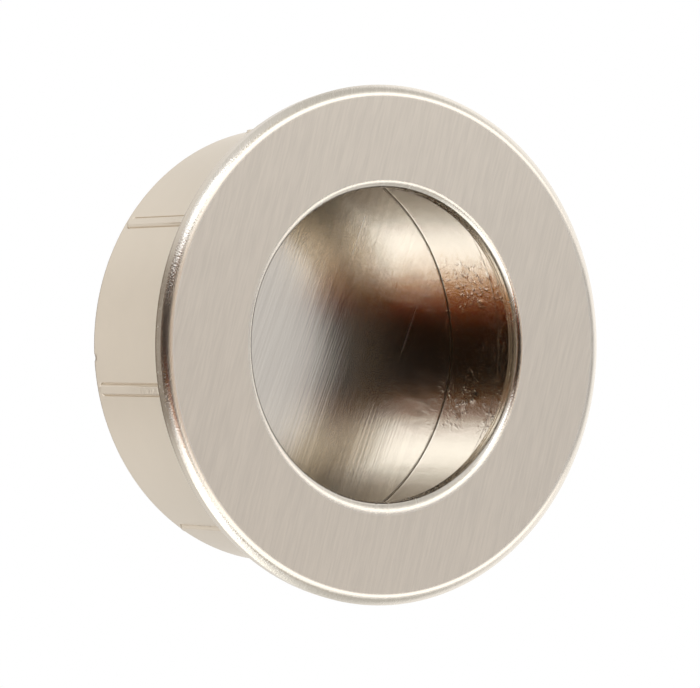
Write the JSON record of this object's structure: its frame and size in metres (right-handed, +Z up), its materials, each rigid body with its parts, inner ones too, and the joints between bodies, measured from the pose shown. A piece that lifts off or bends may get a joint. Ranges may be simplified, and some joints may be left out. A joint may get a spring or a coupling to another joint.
{
  "type": "round recessed pull",
  "caption": "Round flush pull for a bored hole: a brushed flange with a finger lip over a hollow ribbed sleeve, closed at the rear by a flat brushed disc.",
  "frame": {"origin": "centre of the flange's back face, on the axis", "axes": "+Y along the axis, into the door, from the flange to the rear disc; the front face looks towards -Y; +Z up; +X to the right seen from the front"},
  "size_m": [0.04, 0.0156, 0.04],
  "materials": {
    "plated_casting": "satin nickel plate on a zinc casting: brushed front face, polished edges, smooth sleeve, as-cast inner wall",
    "brushed_disc": "satin nickel, brushed in one direction"
  },
  "bodies": {
    "root": {"housing": "plated_casting", "back_plate": "brushed_disc"}
  },
  "joints": []
}
